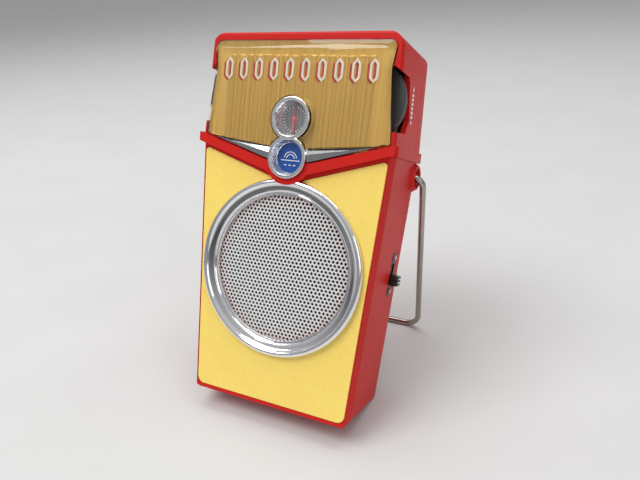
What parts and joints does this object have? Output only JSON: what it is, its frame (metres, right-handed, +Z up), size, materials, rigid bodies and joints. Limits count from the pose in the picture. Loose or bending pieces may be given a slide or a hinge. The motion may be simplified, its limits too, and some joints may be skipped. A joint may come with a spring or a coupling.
{
  "type": "transistor pocket radio",
  "caption": "Pocket radio with a round loudspeaker, side thumbwheels and a fold-out wire stand, leaning back on the stand.",
  "frame": {"origin": "middle of the bounding box, on the surface that the heel of the case and the foot of the stand rest on", "axes": "+X to the radio's right as its front is seen, +Y to its back, +Z up"},
  "size_m": [0.0816, 0.0784, 0.1296],
  "materials": {
    "red_plastic": "gloss moulded",
    "yellow_plastic": "gloss moulded",
    "chrome": "bright plated",
    "silver_mesh": "silvered, perforated",
    "clear_plastic": "clear, fluted",
    "gold_foil": "satin gold",
    "white_paint": "white enamel",
    "dial_silver": "satin grey",
    "blue_enamel": "deep blue gloss",
    "red_enamel": "red enamel",
    "lens_plastic": "clear",
    "wheel_plastic": "dark grey, knurled",
    "black_plastic": "black satin",
    "cone_paper": "pressed paper",
    "frame_steel": "grey painted",
    "plain_steel": "zinc plated",
    "nickel_wire": "dulled nickel plate",
    "board_laminate": "brown paper laminate",
    "ivory_plastic": "ivory satin",
    "brown_resin": "brown resin",
    "ferrite": "dark ceramic",
    "copper_wire": "enamelled copper",
    "blue_sleeve": "printed sleeve, plain",
    "cell_jacket": "plain dark jacket",
    "contact_brass": "plated",
    "cord_thread": "waxed thread"
  },
  "bodies": {
    "case": {"front_case": "red_plastic", "back_case": "red_plastic", "front_panel": "yellow_plastic", "speaker_bezel": "chrome", "speaker_grille": "silver_mesh", "speaker_frame": "frame_steel", "speaker_cone": "cone_paper", "speaker_magnet": "plain_steel", "gold_plate": "gold_foil", "clear_cover": "clear_plastic", "cover_ornaments": "white_paint", "ring_trim": "chrome", "dial_face": "dial_silver", "dial_lens": "lens_plastic", "badge_disc": "blue_enamel", "dial_cord": "cord_thread", "tuning_capacitor": "ivory_plastic", "volume_control": "brown_resin", "circuit_board": "board_laminate", "board_screws": "plain_steel", "if_transformers": "plain_steel", "transistors": "black_plastic", "electrolytics": "blue_sleeve", "ferrite_rod": "ferrite", "aerial_coil": "copper_wire", "rod_clips": "ivory_plastic", "output_transformer": "copper_wire", "battery_cells": "cell_jacket", "battery_contacts": "contact_brass", "switch_body": "black_plastic", "switch_plate": "black_plastic", "switch_rivets": "plain_steel", "earphone_jack": "plain_steel", "bail_bushes": "plain_steel", "case_screws": "plain_steel"},
    "bail": {"bail": "nickel_wire"},
    "tuning": {"tuning_wheel": "wheel_plastic", "tuning_pulley": "brown_resin", "tuning_screw": "plain_steel"},
    "volume": {"volume_wheel": "wheel_plastic", "volume_shaft": "plain_steel", "volume_screw": "plain_steel"},
    "pointer": {"dial_pointer": "red_enamel", "pointer_pulley": "brown_resin"},
    "switch": {"switch_knob": "black_plastic"},
    "door": {"battery_door": "red_plastic"}
  },
  "joints": [
    {"name": "bail_hinge", "type": "hinge", "parent": "case", "child": "bail", "pos_m": [0, 0.01892, 0.07869], "axis": [1, 0, 0], "range_deg": [-30, 0]},
    {"name": "tuning_spin", "type": "hinge", "parent": "case", "child": "tuning", "pos_m": [0.023, 0.00554, 0.10858], "axis": [0, 0.9272, -0.3746], "range_deg": [-85, 85]},
    {"name": "pointer_spin", "type": "hinge", "parent": "case", "child": "pointer", "pos_m": [0, 0.00265, 0.10144], "axis": [0, 0.9272, -0.3746], "range_deg": [-85, 85]},
    {"name": "volume_spin", "type": "hinge", "parent": "case", "child": "volume", "pos_m": [-0.023, 0.00554, 0.10858], "axis": [0, 0.9272, -0.3746], "range_deg": [-150, 150]},
    {"name": "band_slide", "type": "slide", "parent": "case", "child": "switch", "axis": [0.0553, 0.374, 0.9258], "range_m": [0, 0.0032]},
    {"name": "door_pull", "type": "slide", "parent": "case", "child": "door", "axis": [0, 0.9272, -0.3746], "range_m": [0, 0.015]}
  ],
  "couplings": [
    {"joint": "pointer_spin", "follows": "tuning_spin", "ratio": 1}
  ]
}
